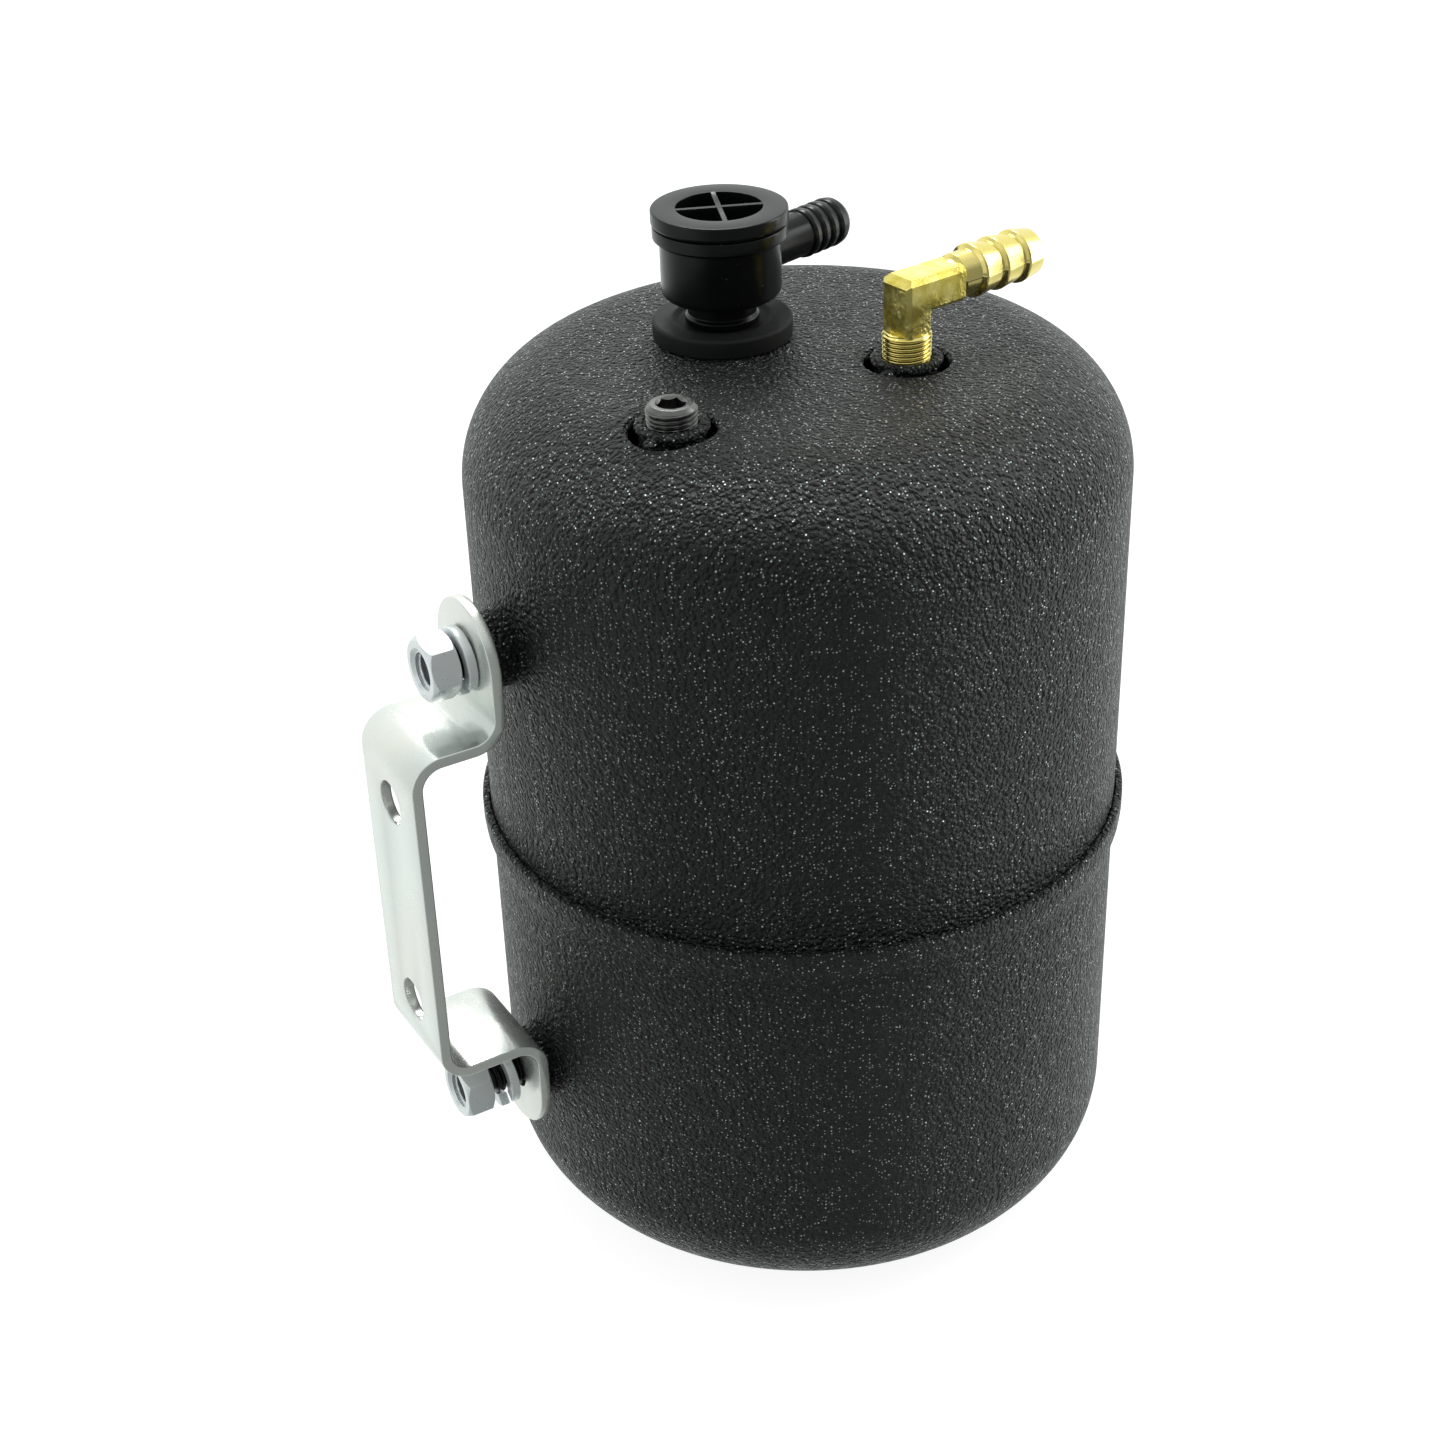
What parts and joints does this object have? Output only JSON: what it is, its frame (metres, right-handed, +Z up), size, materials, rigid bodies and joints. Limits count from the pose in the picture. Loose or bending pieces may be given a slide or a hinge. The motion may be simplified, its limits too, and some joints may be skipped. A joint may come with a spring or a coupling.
{
  "type": "vacuum reservoir canister",
  "caption": "Black two-cup steel vacuum canister with a check valve, a brass hose-barb elbow, a plugged port and a strap mounting bracket.",
  "frame": {"origin": "centre of the canister's flat base", "axes": "+Z up the canister's axis; -X towards the strap bracket; the brass elbow's barb points nearly along +X"},
  "size_m": [0.1702, 0.1436, 0.2282],
  "materials": {
    "wrinkle_coat": "black leathery powder coat with fine sparkle over steel sheet",
    "brass": "forged and turned, satin with a rough forged side",
    "dark_steel": "dark oiled steel",
    "black_steel": "coated black over the thread",
    "zinc_plate": "pale zinc plate over flat strap steel",
    "zinc_fastener": "bluish bright zinc plate",
    "grommet_rubber": "matte black",
    "valve_plastic": "satin black moulding",
    "seal_rubber": "matte black",
    "spring_steel": "bright drawn wire"
  },
  "bodies": {
    "canister": {"upper_shell": "wrinkle_coat", "lower_shell": "wrinkle_coat", "elbow_port_bung": "wrinkle_coat", "plug_port_bung": "wrinkle_coat", "brass_elbow_fitting": "brass", "pipe_plug": "dark_steel", "valve_grommet": "grommet_rubber", "mounting_bracket": "zinc_plate", "upper_stud_boss": "wrinkle_coat", "upper_stud": "black_steel", "upper_hex_nut": "zinc_fastener", "upper_lock_washer": "zinc_fastener", "lower_stud_boss": "wrinkle_coat", "lower_stud": "black_steel", "lower_hex_nut": "zinc_fastener", "lower_lock_washer": "zinc_fastener"},
    "valve": {"check_valve_body": "valve_plastic", "check_valve_cap": "valve_plastic", "cap_seal_ring": "seal_rubber", "valve_spring": "spring_steel"},
    "poppet": {"valve_poppet": "valve_plastic", "poppet_seal": "seal_rubber"}
  },
  "joints": [
    {"name": "valve_swivel", "type": "hinge", "parent": "canister", "child": "valve", "pos_m": [-0.0074, 0.0163, 0.2005], "axis": [0, 0, 1], "range_deg": [-45, 135]},
    {"name": "poppet_lift", "type": "slide", "parent": "valve", "child": "poppet", "axis": [0, 0, 1], "range_m": [0, 0.002], "stiffness_N_per_m": 80, "springref_m": -0.0005, "deforming": ["valve_spring"]}
  ]
}
